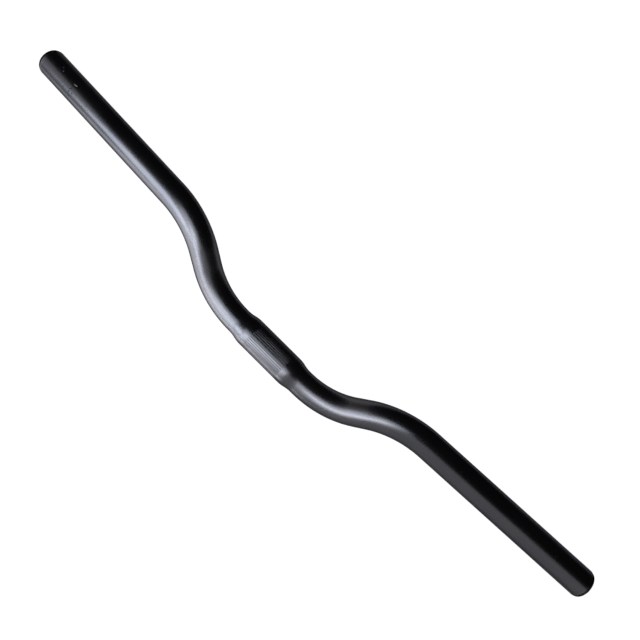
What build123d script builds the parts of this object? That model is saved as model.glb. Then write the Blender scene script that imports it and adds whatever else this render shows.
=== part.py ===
from build123d import *
import os
from math import asin, atan2, degrees, hypot, radians, tan

# Riser handlebar: one aluminium tube, swelled at the clamp, bent up and swept back.
# The origin is the middle of the stem clamp. +X runs along the clamp axis to the
# rider's left, +Y points back towards the rider and +Z is up, the way the bar rises.

# Sizes along the bar, in millimetres and degrees
overall_width = 560.0  # between the middles of the two cut ends
rise = 44.0  # grip axis above the clamp axis
backsweep = 4.0  # turn of each grip towards the rider
bend_radius = 64.0  # of the centreline, the same in all four bends
rise_run = 13.0  # straight tube between the two bends of one side
neck_length = 1.0  # straight tube between the swell and the first bend

# Sizes across the bar
grip_diameter = 22.2
clamp_diameter = 25.4
wall = 2.2  # the same all along: the inside swells with the outside

# Clamp zone
land_length = 42.0  # full clamp diameter
swell_length = 13.0  # from the clamp diameter down to the grip diameter, each side
knurl_length = 35.0  # grooved middle of the land
groove_count = 47
groove_width = 0.45
groove_depth = 0.12

# Cut ends
end_bevel_length = 1.6
end_bevel_depth = 0.5
mouth_chamfer = 0.4

# Radii
grip_radius = grip_diameter / 2
clamp_radius = clamp_diameter / 2
bore_radius = grip_radius - wall
clamp_bore_radius = clamp_radius - wall

# Distances from the middle along the clamp axis
land_end = land_length / 2
swell_end = land_end + swell_length
neck_end = swell_end + neck_length

# Slope of the rising run: two arcs and the run between them climb by the rise
arc_climb = 2 * bend_radius
rise_angle = atan2(arc_climb, rise_run) + asin((rise - arc_climb) / hypot(rise_run, arc_climb))

# Corners of the centreline, where the straight runs would meet without the bends
low_corner_x = neck_end + bend_radius * tan(rise_angle / 2)
high_corner_x = low_corner_x + rise / tan(rise_angle)
grip_reach = overall_width / 2 - high_corner_x
low_corner = Vector(low_corner_x, 0, 0)
high_corner = Vector(high_corner_x, 0, rise)
tip = Vector(overall_width / 2, grip_reach * tan(radians(backsweep)), rise)


def swell_line(land_radius, neck_radius):
    """Right half of a swelled line: the land, then two equal arcs that meet halfway
    down and run smoothly into the land and into the neck."""
    halfway = (land_end + swell_length / 2, (land_radius + neck_radius) / 2)
    Line((0, land_radius), (land_end, land_radius))
    TangentArc((land_end, land_radius), halfway, tangent=(1, 0))
    TangentArc((swell_end, neck_radius), halfway, tangent=(-1, 0))


with BuildPart() as handlebar:
    # Swelled middle, turned about the clamp axis
    with BuildSketch(Plane.XZ) as middle_section:
        with BuildLine():
            swell_line(clamp_radius, grip_radius)
            swell_line(clamp_bore_radius, bore_radius)
            Line((swell_end, bore_radius), (swell_end, grip_radius))
            mirror(about=Plane.YZ)
        make_face()
    revolve(axis=Axis.X)

    # Neck, rising run and grip of each side: one round tube along the bent centreline
    with BuildLine():
        centreline = FilletPolyline((swell_end, 0, 0), low_corner, high_corner, tip, radius=bend_radius)
    with BuildSketch(Plane.YZ.offset(swell_end)) as tube_section:
        Circle(grip_radius)
        Circle(bore_radius, mode=Mode.SUBTRACT)
    arm = sweep(path=centreline)
    mirror(arm, about=Plane.YZ)

    # Cut ends, bevelled outside and deburred inside
    for side in (0, -1):
        cut = handlebar.faces().filter_by(GeomType.PLANE).sort_by(Axis.X)[side]
        outer_rim = cut.edges().sort_by(SortBy.LENGTH)[-1]
        chamfer(outer_rim, length=end_bevel_depth, length2=end_bevel_length, reference=cut)
        cut = handlebar.faces().filter_by(GeomType.PLANE).sort_by(Axis.X)[side]
        inner_rim = cut.edges().sort_by(SortBy.LENGTH)[0]
        chamfer(inner_rim, length=mouth_chamfer)

    # Straight grooves round the land, so that the stem clamp keeps the bar from turning
    with BuildSketch(Plane.YZ.offset(-knurl_length / 2)) as groove_section:
        with PolarLocations(clamp_radius, groove_count):
            Polygon((groove_depth, 0), (0, groove_width / 2), (-groove_depth, 0), (0, -groove_width / 2))
    extrude(amount=knurl_length, mode=Mode.SUBTRACT)

print("slope of the rising run", round(degrees(rise_angle), 2))
print("length of the tube's centreline", round(2 * (swell_end + centreline.length), 1))

os.makedirs("parts", exist_ok=True)
handlebar.part.label = "handlebar"
export_step(handlebar.part, "parts/handlebar.step")
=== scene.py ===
from math import asin, atan2, cos, hypot, pi, radians, sin, tan

import bmesh
import bpy
from mathutils import Matrix, Vector


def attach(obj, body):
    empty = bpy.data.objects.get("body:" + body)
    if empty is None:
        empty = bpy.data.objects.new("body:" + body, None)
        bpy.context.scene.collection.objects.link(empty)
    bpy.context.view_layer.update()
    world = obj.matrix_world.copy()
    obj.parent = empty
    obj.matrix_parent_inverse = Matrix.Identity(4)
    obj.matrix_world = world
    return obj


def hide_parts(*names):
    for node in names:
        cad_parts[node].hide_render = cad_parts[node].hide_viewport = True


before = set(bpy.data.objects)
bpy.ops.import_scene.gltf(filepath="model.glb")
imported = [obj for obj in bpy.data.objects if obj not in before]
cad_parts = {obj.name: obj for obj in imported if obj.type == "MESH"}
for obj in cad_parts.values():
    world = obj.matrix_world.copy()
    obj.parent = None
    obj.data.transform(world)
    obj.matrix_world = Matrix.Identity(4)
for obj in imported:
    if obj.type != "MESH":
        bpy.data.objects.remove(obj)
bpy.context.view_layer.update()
scene = bpy.context.scene
scene.view_settings.view_transform = "Standard"


# Camera. It stands over the front of the bar, a little to the rider's left of the middle, and
# looks down on it. It is rolled, so that the bar lies corner to corner in the frame.
camera_place = Vector((0.03771, -0.30360, 0.29767))
camera_back = Vector((0.06282, -0.78284, 0.61904))  # from the bar towards the lens
camera_roll = radians(41.622)
photo_width = 640  # pixels
focal_pixels = 541.215
nearest_seen = 0.01

lens = bpy.data.cameras.new("camera")
lens.sensor_width = 36.0
lens.lens = lens.sensor_width * focal_pixels / photo_width
lens.clip_start = nearest_seen
camera = bpy.data.objects.new("camera", lens)
camera_stand = camera_back.to_track_quat("Z", "Y").to_matrix().to_4x4()
camera_stand = camera_stand @ Matrix.Rotation(camera_roll, 4, "Z")
camera_stand.translation = camera_place
camera.matrix_world = camera_stand
scene.collection.objects.link(camera)
scene.camera = camera


# Handlebar. One aluminium tube, drawn thicker in the middle for the stem clamp, grooved there
# by straight knurling wheels, bent four times on one radius, cut and bevelled at its ends,
# then brushed down and anodised black. It is the only piece, and the stem clamp holds it.
mm = 0.001
overall_width = 560.0 * mm
rise = 44.0 * mm
backsweep = radians(4.0)
bend_radius = 64.0 * mm
rise_run = 13.0 * mm
neck_length = 1.0 * mm
grip_radius = 11.1 * mm
clamp_radius = 12.7 * mm
wall = 2.2 * mm
land_length = 42.0 * mm
swell_length = 13.0 * mm
knurl_length = 35.0 * mm
groove_count = 47
groove_width = 0.45 * mm
groove_depth = 0.12 * mm
groove_run_out = 0.3 * mm
end_bevel_length = 1.6 * mm
end_bevel_depth = 0.5 * mm
mouth_chamfer = 0.4 * mm
rim_rounding = 0.12 * mm

# How finely the tube is divided, and where its skin joins and creases
steps_per_groove = 4  # its bottom, its two edges and the middle of the strip between two grooves
swell_rings = 20
bend_rings = 28
join_gap = 0.01 * mm  # vertices nearer than this become one
mirror_gap = 0.001 * mm
groove_crease = radians(10)
rim_crease = radians(15)

# Places worked out from the sizes. The bar climbs by two arcs and the slope between them.
land_end = land_length / 2
swell_end = land_end + swell_length
neck_end = swell_end + neck_length
arc_climb = 2 * bend_radius
rise_angle = atan2(arc_climb, rise_run) + asin((rise - arc_climb) / hypot(rise_run, arc_climb))
level = Vector((1, 0, 0))
uphill = Vector((cos(rise_angle), 0, sin(rise_angle)))
swept = Vector((cos(backsweep), sin(backsweep), 0))
high_turn = uphill.angle(swept)
low_setback = bend_radius * tan(rise_angle / 2)
high_setback = bend_radius * tan(high_turn / 2)
slope_length = rise / sin(rise_angle) - low_setback - high_setback
high_corner_x = neck_end + low_setback + rise / tan(rise_angle)
grip_length = (overall_width / 2 - high_corner_x) / cos(backsweep) - high_setback
bar_length = 2 * (neck_end + bend_radius * (rise_angle + high_turn) + slope_length + grip_length)
ring_steps = groove_count * steps_per_groove
half_groove = groove_width / 2 / (2 * pi * clamp_radius / ring_steps)  # as a share of one step


def newest_ring(made):
    """The vertices of a ring that was just drawn out, and the edges that join them."""
    verts = [part for part in made if isinstance(part, bmesh.types.BMVert)]
    edges = [part for part in made if isinstance(part, bmesh.types.BMEdge)]
    held = set(verts)
    return verts, [edge for edge in edges if held.issuperset(edge.verts)]


class Tube:
    """One wall of the half of the bar on +X, drawn out ring by ring from the middle. Each vertex
    keeps the place that it has on the straight tube, before any bend, as unbent."""

    def __init__(self, bm, radius):
        self.bm = bm
        self.unbent = bm.verts.layers.float_vector["unbent"]
        self.verts = bmesh.ops.create_circle(bm, segments=ring_steps, radius=radius)["verts"]
        held = set(self.verts)
        self.edges = [edge for edge in bm.edges if held.issuperset(edge.verts)]
        upright = Vector((0, 0, 1)).rotation_difference(level).to_matrix()
        bmesh.ops.rotate(bm, verts=self.verts, cent=(0, 0, 0), matrix=upright)
        self.draw_to_grooves(radius)
        for vert in self.verts:
            vert[self.unbent] = vert.co
        self.place = Vector((0, 0, 0))
        self.ahead = level
        self.along = 0.0

    def draw_to_grooves(self, radius):
        """Moves the two neighbours of each groove's bottom round to the groove's edges."""
        self.bottoms = self.verts[::steps_per_groove]
        last_step = steps_per_groove - 1
        sides = self.verts[1::steps_per_groove] + self.verts[last_step::steps_per_groove]
        nearest = self.bottoms + self.bottoms[1:] + self.bottoms[:1]
        for vert, bottom in zip(sides, nearest):
            vert.co = bottom.co.lerp(vert.co, half_groove).normalized() * radius

    def note(self, travel):
        """Writes how far along the straight tube the ring has come."""
        self.along += travel
        for vert in self.verts:
            vert[self.unbent] = Vector((self.along, *vert[self.unbent].yz))

    def run(self, length):
        made = bmesh.ops.extrude_edge_only(self.bm, edges=self.edges)["geom"]
        self.verts, self.edges = newest_ring(made)
        bmesh.ops.translate(self.bm, verts=self.verts, vec=self.ahead * length)
        self.place = self.place + self.ahead * length
        self.note(length)

    def resize(self, radius):
        for vert in self.verts:
            across = vert.co - self.place
            vert.co = self.place + across * (radius / across.length)
            vert[self.unbent] = Vector((self.along, *(vert[self.unbent].yz.normalized() * radius)))

    def bend(self, onto):
        axis = self.ahead.cross(onto).normalized()
        centre = self.place + axis.cross(self.ahead) * bend_radius
        step = self.ahead.angle(onto) / bend_rings
        for _ in range(bend_rings):
            ring = self.verts + self.edges
            made = bmesh.ops.spin(self.bm, geom=ring, cent=centre, axis=axis, angle=step, steps=1)
            self.verts, self.edges = newest_ring(made["geom_last"])
            self.note(bend_radius * step)
        spoke = self.place - centre
        spoke.rotate(Vector(self.ahead).rotation_difference(onto))
        self.place = centre + spoke
        self.ahead = onto


def swell(tube, land_radius, tube_radius):
    """The S from the land down to the tube: two equal arcs that meet halfway."""
    half_run = swell_length / 2
    half_drop = (land_radius - tube_radius) / 2
    arc = (half_run ** 2 + half_drop ** 2) / (2 * half_drop)
    for ring in range(1, swell_rings + 1):
        tube.run(swell_length / swell_rings)
        reach = swell_length * ring / swell_rings
        if reach <= half_run:
            tube.resize(land_radius - arc + (arc ** 2 - reach ** 2) ** 0.5)
        else:
            tube.resize(tube_radius + arc - (arc ** 2 - (swell_length - reach) ** 2) ** 0.5)


def bent_run(tube, cut_back):
    """Neck, low bend, slope, high bend and grip, which stops short of the cut by cut_back."""
    tube.run(neck_length)
    tube.bend(uphill)
    tube.run(slope_length)
    tube.bend(swept)
    tube.run(grip_length - cut_back)


bm = bmesh.new()
bm.verts.layers.float_vector.new("unbent")

# Outside wall, grooves first. It goes round the mouth and ends at the bore.
outside = Tube(bm, clamp_radius)
for bottom in outside.bottoms:
    bottom.co = bottom.co.normalized() * (clamp_radius - groove_depth)
    bottom[outside.unbent] = bottom.co
outside.run(knurl_length / 2 - groove_run_out)
outside.run(groove_run_out)
outside.resize(clamp_radius)
for edge in bm.edges:
    edge.smooth = edge.calc_face_angle(0) < groove_crease
outside.run(land_end - knurl_length / 2)
swell(outside, clamp_radius, grip_radius)
bent_run(outside, end_bevel_length)
outside.run(end_bevel_length)
outside.resize(grip_radius - end_bevel_depth)
outside.run(0)
outside.resize(grip_radius - wall + mouth_chamfer)
outside.run(-mouth_chamfer)
outside.resize(grip_radius - wall)

inside = Tube(bm, clamp_radius - wall)
inside.run(land_end)
swell(inside, clamp_radius - wall, grip_radius - wall)
bent_run(inside, mouth_chamfer)

# The two walls become one skin, its rims are rounded, and the half on -X mirrors this one.
bmesh.ops.remove_doubles(bm, verts=bm.verts, dist=join_gap)
bmesh.ops.recalc_face_normals(bm, faces=bm.faces)
creases = [edge for edge in bm.edges if edge.calc_face_angle(0) > rim_crease]
rims = [edge for edge in creases if edge.verts[0].co.x > high_corner_x]
bmesh.ops.bevel(
    bm, geom=rims, offset=rim_rounding, segments=2, profile=0.5, affect="EDGES", material=-1
)
half = bm.verts[:] + bm.edges[:] + bm.faces[:]
bmesh.ops.mirror(bm, geom=half, axis="X", merge_dist=mirror_gap)
bmesh.ops.recalc_face_normals(bm, faces=bm.faces)
for face in bm.faces:
    face.smooth = True
for vert in bm.verts:
    if vert.co.x < 0:
        vert[outside.unbent] = vert[outside.unbent] * Vector((-1, 1, 1))
bar_mesh = bpy.data.meshes.new("bar")
bm.to_mesh(bar_mesh)
bm.free()
bar = bpy.data.objects.new("bar", bar_mesh)
scene.collection.objects.link(bar)

# Colours of the finish, how rough and how bare each mark is, and how wide and deep. A roughness
# added to the satin one dulls it. Heights are in steps of the bump.
cool_black = (0.056, 0.057, 0.064)
warm_black = (0.064, 0.063, 0.069)
brushed_black = (0.045, 0.046, 0.051)
# The next colour is painted shade, for the band over each end bevel.
bevel_shade_black = (0.012, 0.012, 0.016)
# The next colour is painted shade, for the knurl grooves.
groove_shade_black = (0.010, 0.010, 0.011)
nick_black = (0.012, 0.012, 0.014)
bare_aluminium = (0.42, 0.42, 0.41)
edge_tint = (0.35, 0.35, 0.35, 1)
brushed_share = 0.15
# The next share sets how dark the painted shade on the end bevels is.
bevel_shade_share = 0.8
satin_roughness = (0.26, 0.29)
mottle_roughness = (-0.008, 0.008)
line_roughness = (-0.010, 0.014)
bore_roughness = (0.45, 0.62)
worn_roughness = 0.5
grease_roughness = 0.25
mark_roughness = 0.35
# The next share is a painted highlight along the inner edge of the shaded end band, with the
# anodising worn thin there.
band_edge_glint = 0.22
rim_bareness = 0.30
scuff_bareness = 0.55
dot_bareness = 0.35
# The next length is the width of the painted shade at each end.
shaded_band = 2.5 * mm
band_edge_width = 0.35 * mm
rim_width = 0.12 * mm
bore_reach = clamp_radius - wall + 0.05 * mm  # just past the bore where it is widest
bump_step = 0.02 * mm
bump_strength = 0.5
grain_height = 0.04
groove_height = 3.0
groove_reach = 0.13  # from its bottom, as a share of the step from one groove to the next
# The next two place the painted shade in the grooves and set how dark it is.
groove_shade_reach = (0.06, 0.18)
groove_shade_share = 0.5

anodised = bpy.data.materials.new("black_anodised")
anodised.use_nodes = True
nodes = anodised.node_tree.nodes
links = anodised.node_tree.links
skin = nodes["Principled BSDF"]
skin.inputs["Metallic"].default_value = 1.0
skin.inputs["Specular Tint"].default_value = edge_tint
on_tube = nodes.new("ShaderNodeAttribute")
on_tube.attribute_name = "unbent"
place = on_tube.outputs["Vector"]


def feed(socket, value):
    """Links a socket to what another node gives, or sets it to a plain value."""
    if isinstance(value, bpy.types.NodeSocket):
        links.new(value, socket)
    else:
        socket.default_value = value


def reckon(operation, first, second=0.0, clamp=False):
    """One step of arithmetic on values."""
    node = nodes.new("ShaderNodeMath")
    node.operation = operation
    node.use_clamp = clamp
    feed(node.inputs[0], first)
    feed(node.inputs[1], second)
    return node.outputs[0]


def reckon_place(operation, *places):
    """One step of arithmetic on places."""
    node = nodes.new("ShaderNodeVectorMath")
    node.operation = operation
    for socket, value in zip(node.inputs, places):
        feed(socket, value)
    return node.outputs


def cloud(scale, detail, where=place):
    """Noise along the straight tube, as a factor round a half."""
    noise = nodes.new("ShaderNodeTexNoise")
    noise.inputs["Scale"].default_value = scale
    noise.inputs["Detail"].default_value = detail
    links.new(where, noise.inputs["Vector"])
    return noise.outputs["Fac"]


def stretch(source, start, end, low, high):
    """Low where the source is at its start, high where it is at its end, and a ramp between."""
    node = nodes.new("ShaderNodeMapRange")
    links.new(source, node.inputs["Value"])
    node.inputs["From Min"].default_value = start
    node.inputs["From Max"].default_value = end
    node.inputs["To Min"].default_value = low
    node.inputs["To Max"].default_value = high
    return node.outputs["Result"]


def vary(pattern, low, high, spread=0.2):
    """A noise pattern as a value between low and high; a smaller spread has harder edges."""
    return stretch(pattern, 0.5 - spread, 0.5 + spread, low, high)


def tint(share, under, over):
    """One colour over another, by a share."""
    node = nodes.new("ShaderNodeMix")
    node.data_type = "RGBA"
    links.new(share, node.inputs["Factor"])
    for socket, value in ((node.inputs["A"], under), (node.inputs["B"], over)):
        feed(socket, (*value, 1) if isinstance(value, tuple) else value)
    return node.outputs["Result"]


# The dye takes a little unevenly: cooler and warmer blacks drift along the tube, and faint lines
# from brushing run along it.
drawn = nodes.new("ShaderNodeMapping")
drawn.inputs["Scale"].default_value = (14, 900, 900)  # long along the tube, fine round it
links.new(place, drawn.inputs["Vector"])
lines = cloud(scale=1.0, detail=4.0, where=drawn.outputs["Vector"])
drift = cloud(scale=38.0, detail=3.0)
mottle = cloud(scale=420.0, detail=2.0)
grain = cloud(scale=3200.0, detail=2.0)
colour = tint(vary(drift, 0, 1, spread=0.15), cool_black, warm_black)
colour = tint(vary(lines, 0, brushed_share), colour, brushed_black)
roughness = vary(drift, *satin_roughness)
roughness = reckon("ADD", roughness, vary(mottle, *mottle_roughness))
roughness = reckon("ADD", roughness, vary(lines, *line_roughness))

# The bore keeps the duller, streaky finish of the drawn tube.
off_axis = reckon_place("MULTIPLY", place, (0, 1, 1))["Vector"]
across = reckon_place("LENGTH", off_axis)["Value"]
in_bore = reckon("LESS_THAN", across, bore_reach)
streaks = vary(lines, *bore_roughness)
duller = reckon("MULTIPLY", in_bore, reckon("SUBTRACT", streaks, roughness))
roughness = reckon("ADD", roughness, duller)

# Painted shade darkens a band over the bevel at each cut end. Along the band's inner edge a broken
# pale line is painted highlight, with the anodising also worn thin there, and at the cut rim the
# anodising is worn thin and the aluminium shows through in a broken line.
split = nodes.new("ShaderNodeSeparateXYZ")
links.new(place, split.inputs["Vector"])
from_middle = reckon("ABSOLUTE", split.outputs["X"])
from_end = reckon("SUBTRACT", bar_length / 2, from_middle)
ragged = vary(mottle, 0.5, 1, spread=0.15)
on_outside = reckon("SUBTRACT", 1.0, in_bore)
bevel_shade = reckon("MULTIPLY", reckon("LESS_THAN", from_end, shaded_band), on_outside)
colour = tint(reckon("MULTIPLY", bevel_shade, bevel_shade_share), colour, bevel_shade_black)
# The first edge is a painted highlight line, partly worn anodising; the second is wear at the cut
# rim.
bright_edges = (
    (shaded_band, band_edge_width, band_edge_glint),
    (0.0, rim_width, rim_bareness),
)
for bright_edge, width, lightening in bright_edges:
    off_edge = reckon("ABSOLUTE", reckon("SUBTRACT", from_end, bright_edge))
    wear_and_glint = reckon("MULTIPLY", stretch(off_edge, 0, width, lightening, 0), ragged)
    colour = tint(wear_and_glint, colour, bare_aluminium)
    roughness = reckon("ADD", roughness, reckon("MULTIPLY", wear_and_glint, worn_roughness))

# Painted shade darkens the grooves, and old grease and dust there make them duller.
angle = reckon("ARCTAN2", split.outputs["Z"], split.outputs["Y"])
groove_turns = reckon("MULTIPLY", angle, groove_count / (2 * pi))
off_groove = reckon("SUBTRACT", groove_turns, reckon("ROUND", groove_turns))
off_groove = reckon("ABSOLUTE", off_groove)
knurled = reckon("LESS_THAN", from_middle, knurl_length / 2)
knurled = reckon("MULTIPLY", knurled, reckon("GREATER_THAN", across, clamp_radius - wall / 2))
# The colour darkening in the grooves is painted shade; the added roughness is the grease.
hollow = reckon("MULTIPLY", stretch(off_groove, 0, groove_reach, 1, 0), knurled)
grease_and_shade = reckon("MULTIPLY", stretch(off_groove, *groove_shade_reach, groove_shade_share, 0), knurled)
grease_and_shade = reckon("MULTIPLY", grease_and_shade, ragged)
colour = tint(grease_and_shade, colour, groove_shade_black)
roughness = reckon("ADD", roughness, reckon("MULTIPLY", grease_and_shade, grease_roughness))

# Handling marks near the rider's right end: an oval scuff with a dark edge, a short row of dark
# nicks beside it and two pale dots nearer the end. Places are millimetres on the straight tube.
scuff_heading = (0, -8.4, 8.8)  # degrees
scuff_place = (-255.6, -7.5, 8.0)
scuff_size = (2.6, 0.75, 0.75)
scuff_edge_place = (-255.6, -7.6, 8.1)
scuff_edge_size = (3.9, 1.7, 1.7)
first_nick = (-256.3, -9.8, 5.3)
first_nick_size = (0.75, 0.8, 0.8)
other_nicks = (
    (-257.1, -10.3, 4.1),
    (-257.0, -10.9, 2.1),
    (-253.9, -10.8, 2.6),
    (-255.9, -11.1, -0.7),
)
other_nick_size = (0.7, 0.85, 0.85)
pale_dots = ((-273.9, -5.6, 9.6), (-271.3, -7.1, 8.5))
dot_size = (0.6, 0.6, 0.6)
raggedness = 0.7 * mm
shake_scale = 900.0

shake = nodes.new("ShaderNodeTexNoise")
shake.inputs["Scale"].default_value = shake_scale
links.new(place, shake.inputs["Vector"])
full_shake = (raggedness, raggedness, raggedness)
half_shake = (raggedness / 2, raggedness / 2, raggedness / 2)
shaking = reckon_place("MULTIPLY_ADD", shake.outputs["Color"], full_shake, place)["Vector"]
shaken = reckon_place("SUBTRACT", shaking, half_shake)["Vector"]


def spot(centre, reach, fade, heading=(0, 0, 0)):
    """A slightly ragged oval on the tube: nothing outside, and one from where its fade ends."""
    placed = nodes.new("ShaderNodeMapping")
    placed.vector_type = "TEXTURE"
    placed.inputs["Location"].default_value = [side * mm for side in centre]
    placed.inputs["Rotation"].default_value = [radians(tilt) for tilt in heading]
    placed.inputs["Scale"].default_value = [side * mm for side in reach]
    links.new(shaken, placed.inputs["Vector"])
    oval = nodes.new("ShaderNodeTexGradient")
    oval.gradient_type = "SPHERICAL"
    links.new(placed.outputs["Vector"], oval.inputs["Vector"])
    return stretch(oval.outputs["Fac"], 0, fade, 0, 1)


scuff_edge = spot(scuff_edge_place, scuff_edge_size, fade=0.35, heading=scuff_heading)
scuff = spot(scuff_place, scuff_size, fade=0.5, heading=scuff_heading)
nicks = spot(first_nick, first_nick_size, fade=0.4)
for nick in other_nicks:
    nicks = reckon("MAXIMUM", nicks, spot(nick, other_nick_size, fade=0.4))
dots = reckon("MAXIMUM", *[spot(dot, dot_size, fade=0.5) for dot in pale_dots])
colour = tint(reckon("MAXIMUM", scuff_edge, nicks), colour, nick_black)
bared_scuff = reckon("MULTIPLY", scuff, scuff_bareness)
bared_dots = reckon("MULTIPLY", dots, dot_bareness)
colour = tint(reckon("MAXIMUM", bared_scuff, bared_dots), colour, bare_aluminium)
marked = reckon("MAXIMUM", reckon("MAXIMUM", scuff, dots), nicks)
marked_roughness = reckon("MULTIPLY", marked, mark_roughness)
roughness = reckon("ADD", roughness, marked_roughness, clamp=True)

height = reckon("MULTIPLY", grain, grain_height)
height = reckon("SUBTRACT", height, reckon("MAXIMUM", scuff, nicks))
height = reckon("SUBTRACT", height, reckon("MULTIPLY", hollow, groove_height))
bump = nodes.new("ShaderNodeBump")
bump.inputs["Strength"].default_value = bump_strength
bump.inputs["Distance"].default_value = bump_step
links.new(height, bump.inputs["Height"])
links.new(colour, skin.inputs["Base Color"])
links.new(roughness, skin.inputs["Roughness"])
links.new(bump.outputs["Normal"], skin.inputs["Normal"])
bar_mesh.materials.append(anodised)

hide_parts("handlebar")
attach(bar, "root")


# Floor. A wide sheet of plain pale paper, well below the bar, that curves up at its edge. The
# camera and reflections see it white, less the bar's soft shadow.
floor_height = -1.2
flat_reach = 2.0
curl_radius = 1.0
curl_turn = radians(70)
curl_steps = 12
wall_height = 2.0
round_steps = 48
floor_join_gap = 0.1 * mm
paper_grey = (0.8, 0.8, 0.8, 1)
paper_roughness = 0.9
seen_white = (0.95, 0.95, 0.95, 1)

bm = bmesh.new()
floor_middle = bm.verts.new((0, 0, floor_height))
flat_end = bm.verts.new((flat_reach, 0, floor_height))
bm.edges.new((floor_middle, flat_end))
curl_centre = (flat_reach, 0, floor_height + curl_radius)
curl = bmesh.ops.spin(
    bm, geom=[flat_end], cent=curl_centre, axis=(0, -1, 0), angle=curl_turn, steps=curl_steps
)["geom_last"]
lip = bmesh.ops.extrude_vert_indiv(bm, verts=curl)["verts"]
bmesh.ops.translate(bm, verts=lip, vec=(wall_height / tan(curl_turn), 0, wall_height))
bmesh.ops.spin(
    bm,
    geom=bm.verts[:] + bm.edges[:],
    cent=(0, 0, 0),
    axis=(0, 0, 1),
    angle=2 * pi,
    steps=round_steps,
    use_merge=True,
)
bmesh.ops.remove_doubles(bm, verts=bm.verts, dist=floor_join_gap)
bmesh.ops.recalc_face_normals(bm, faces=bm.faces)
for face in bm.faces:
    face.smooth = True
floor_mesh = bpy.data.meshes.new("floor")
bm.to_mesh(floor_mesh)
bm.free()
floor = bpy.data.objects.new("floor", floor_mesh)
scene.collection.objects.link(floor)

paper = bpy.data.materials.new("paper")
paper.use_nodes = True
paper_nodes = paper.node_tree.nodes
paper_links = paper.node_tree.links
sheet = paper_nodes["Principled BSDF"]
sheet.inputs["Base Color"].default_value = paper_grey
sheet.inputs["Roughness"].default_value = paper_roughness
sheet.inputs["Specular IOR Level"].default_value = 0.0
light_path = paper_nodes.new("ShaderNodeLightPath")
shown = light_path.outputs["Is Camera Ray"]
for ray in ("Is Glossy Ray", "Is Transmission Ray"):
    either = paper_nodes.new("ShaderNodeMath")
    either.operation = "MAXIMUM"
    paper_links.new(shown, either.inputs[0])
    paper_links.new(light_path.outputs[ray], either.inputs[1])
    shown = either.outputs[0]
glow = paper_nodes.new("ShaderNodeEmission")
glow.inputs["Color"].default_value = seen_white
paper_links.new(shown, glow.inputs["Strength"])
both = paper_nodes.new("ShaderNodeAddShader")
paper_links.new(sheet.outputs[0], both.inputs[0])
paper_links.new(glow.outputs[0], both.inputs[1])
paper_links.new(both.outputs[0], paper_nodes["Material Output"].inputs["Surface"])
floor_mesh.materials.append(paper)


# Studio light. Three soft panels stand low in front of the bar, towards the rider's right, and give
# the long cool highlight along its underside. Two lie near the floor and lift its lowest side, and
# a dim room does the rest. No two lie in one plane, because panels that overlap there lose light.
forward = (0, 1, 0)
upward = (0, 0, 1)
cool_daylight = (0.91, 0.95, 1.0)
blue_daylight = (0.84, 0.90, 1.0)
warm_bounce = (1.0, 0.98, 0.96)
room_grey = (0.03, 0.03, 0.03, 1)


def panel(name, place, facing, roll, size, watts, color):
    """A soft lamp that the camera doesn't see, size wide and high in metres, rolled in degrees."""
    lamp = bpy.data.lights.new(name, "AREA")
    lamp.shape = "RECTANGLE"
    lamp.size = size[0]
    lamp.size_y = size[1]
    lamp.energy = watts
    lamp.color = color
    held = bpy.data.objects.new(name, lamp)
    aim = (-Vector(facing)).to_track_quat("Z", "Y").to_matrix()
    aim = aim @ Matrix.Rotation(radians(roll), 3, "Z")
    held.matrix_world = Matrix.Translation(place) @ aim.to_4x4()
    held.visible_camera = False
    scene.collection.objects.link(held)


panel("tall_window", (-0.155, -0.50, -0.06), forward, -12, (0.32, 0.94), 4.0, cool_daylight)
panel("side_window", (-0.47, -0.51, -0.105), forward, -36, (0.465, 0.42), 5.6, blue_daylight)
panel("bright_strip", (-0.10, -0.49, -0.095), forward, -11, (0.085, 0.56), 1.43, cool_daylight)
panel("low_sheet", (-0.70, -0.50, -1.0), upward, -20, (1.225, 1.05), 23.0, warm_bounce)
panel("low_strip", (-0.26, -0.68, -0.98), upward, 20, (0.525, 0.075), 2.1, warm_bounce)

room = bpy.data.worlds.new("room")
scene.world = room
room.use_nodes = True
room.node_tree.nodes["Background"].inputs["Color"].default_value = room_grey
